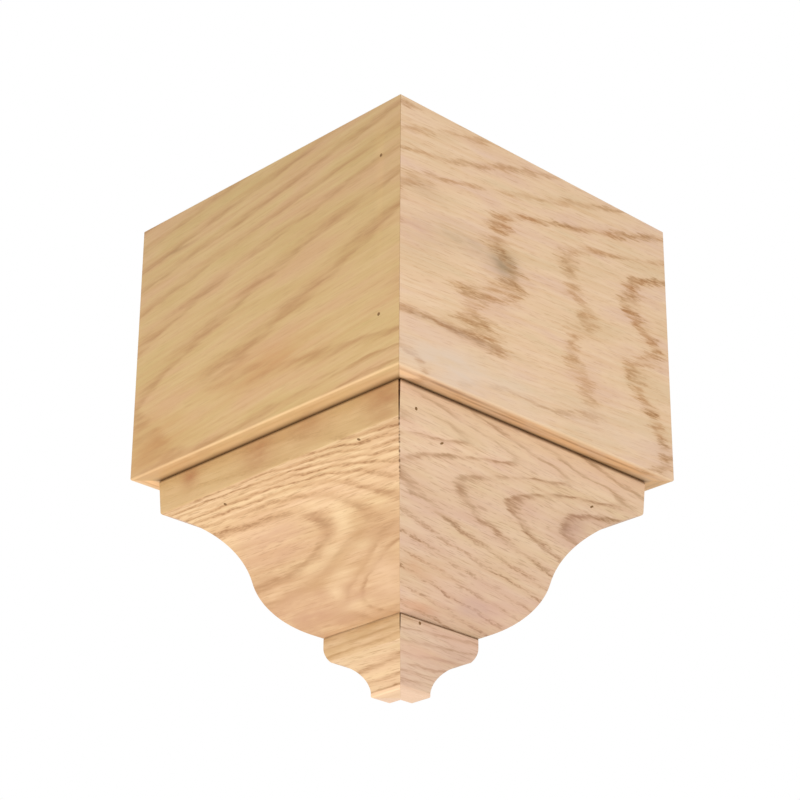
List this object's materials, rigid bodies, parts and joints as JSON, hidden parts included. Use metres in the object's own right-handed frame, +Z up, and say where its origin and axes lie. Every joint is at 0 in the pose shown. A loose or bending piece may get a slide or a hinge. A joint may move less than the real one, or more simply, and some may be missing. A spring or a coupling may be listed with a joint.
{
  "type": "crown moulding corner block",
  "caption": "Mitred raw oak block for an outside room corner: an open box over crown and cove mouldings that step in to the wall, notched for the walls.",
  "frame": {"origin": "on the corner edge of the two walls, at the ceiling, level with the top of the box", "axes": "+Z up; one wall runs along -X with its face at y = 0, the other along +Y with its face at x = 0; the block shows its faces to -Y and +X"},
  "size_m": [0.146, 0.146, 0.1936],
  "materials": {
    "oak_board": "raw sanded red oak",
    "oak_crown": "raw sanded red oak",
    "oak_lower": "raw sanded red oak"
  },
  "bodies": {
    "root": {"board_left": "oak_board", "board_right": "oak_board", "board_return_left": "oak_board", "board_return_right": "oak_board", "crown_left": "oak_crown", "crown_right": "oak_crown", "crown_return_left": "oak_crown", "crown_return_right": "oak_crown", "lower_left": "oak_lower", "lower_right": "oak_lower", "lower_return_left": "oak_lower", "lower_return_right": "oak_lower"}
  },
  "joints": []
}
